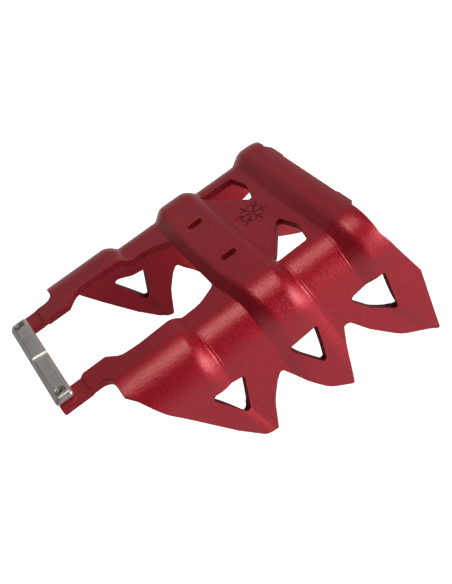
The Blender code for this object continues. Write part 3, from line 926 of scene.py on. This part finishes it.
# Each light: name, azimuth from +X towards +Y, elevation, distance, size, watts and colour.
LIGHTS = (
    ("top_box", 20, 87, 0.75, (0.37, 0.37), 1.4, (1.0, 0.98, 0.90)),
    ("side_box", 48, 12, 0.9, (0.62, 0.56), 3.9, (1.0, 1.0, 1.0)),
    ("left_box", 160, 15, 0.9, (1.6, 1.3), 1.1, (1.0, 1.0, 1.0)),
)
CAMERA_SENSOR = 36.0
CAMERA_LENS = 61.5
CAMERA_AZIMUTH = 75.51
CAMERA_ELEVATION = 36.66
CAMERA_ROLL = -22.65
CAMERA_AIM = (0.00086, 0.00850, 0.03182)
CAMERA_DISTANCE = 0.3975


def add_floor():
    """A pale floor inside a pale dome, so that no view looks past the floor's edge."""
    bm = bmesh.new()
    bmesh.ops.create_grid(bm, x_segments=1, y_segments=1, size=STUDIO_REACH)
    bmesh.ops.create_uvsphere(bm, u_segments=48, v_segments=24, radius=STUDIO_REACH)
    floor = object_from(bm, "studio_floor")
    floor.data.materials.append(pale_floor())
    floor.visible_diffuse = False
    floor.visible_glossy = False
    floor.visible_shadow = False


def add_shade():
    """The shade that the plate casts on the floor below it, seen by reflections only."""
    bm = bmesh.new()
    bmesh.ops.create_circle(bm, cap_ends=True, segments=64, radius=1.0)
    bm.transform(Matrix.Diagonal((*SHADE_REACH, 1.0, 1.0)))
    shade = object_from(bm, "studio_shade")
    shade.location.z = SHADE_HEIGHT
    shade.data.materials.append(floor_shade())
    shade.visible_camera = False
    shade.visible_shadow = False


def direction_from(azimuth, elevation):
    """A unit vector from an azimuth, measured from +X towards +Y, and an elevation."""
    azimuth, elevation = math.radians(azimuth), math.radians(elevation)
    level = Vector((math.cos(azimuth), math.sin(azimuth), 0.0))
    return level * math.cos(elevation) + Vector((0.0, 0.0, math.sin(elevation)))


def add_light(name, azimuth, elevation, distance, size, power, colour):
    """A soft box that looks at the object from a direction."""
    lamp = bpy.data.lights.new(name, "AREA")
    lamp.shape = "RECTANGLE"
    lamp.size, lamp.size_y = size
    lamp.energy = power
    lamp.color = colour
    item = bpy.data.objects.new(name, lamp)
    away = direction_from(azimuth, elevation)
    item.location = Vector(LIGHTS_AIM) + away * distance
    item.rotation_euler = away.to_track_quat("Z", "Y").to_euler()
    bpy.context.scene.collection.objects.link(item)


def set_world():
    """Even studio air, dim above the horizon and lit by the pale floor below it."""
    world = bpy.data.worlds.new("studio_air")
    bpy.context.scene.world = world
    world.use_nodes = True
    nodes, links = world.node_tree.nodes, world.node_tree.links
    direction = nodes.new("ShaderNodeTexCoord").outputs["Generated"]
    height = nodes.new("ShaderNodeSeparateXYZ")
    links.new(direction, height.inputs["Vector"])
    strength = nodes.new("ShaderNodeMapRange")
    strength.inputs["From Min"].default_value, strength.inputs["From Max"].default_value = AIR_BLEND
    strength.inputs["To Min"].default_value = AIR_BELOW
    strength.inputs["To Max"].default_value = AIR_ABOVE
    links.new(height.outputs["Z"], strength.inputs["Value"])
    background = nodes["Background"]
    background.inputs["Color"].default_value = WHITE
    links.new(strength.outputs["Result"], background.inputs["Strength"])


def add_camera():
    """Where the crampon is seen from: nearly side-on, from above, and rolled clockwise."""
    camera = bpy.data.cameras.new("studio_camera")
    camera.sensor_width = CAMERA_SENSOR
    camera.lens = CAMERA_LENS
    item = bpy.data.objects.new("studio_camera", camera)
    away = direction_from(CAMERA_AZIMUTH - 90.0, CAMERA_ELEVATION)
    turn = away.to_track_quat("Z", "Y") @ Matrix.Rotation(math.radians(CAMERA_ROLL), 3, "Z").to_quaternion()
    item.rotation_euler = turn.to_euler()
    item.location = Vector(CAMERA_AIM) + away * CAMERA_DISTANCE
    bpy.context.scene.collection.objects.link(item)
    bpy.context.scene.camera = item


add_floor()
add_shade()
set_world()
for light in LIGHTS:
    add_light(*light)
add_camera()
bpy.context.scene.view_settings.view_transform = "Standard"
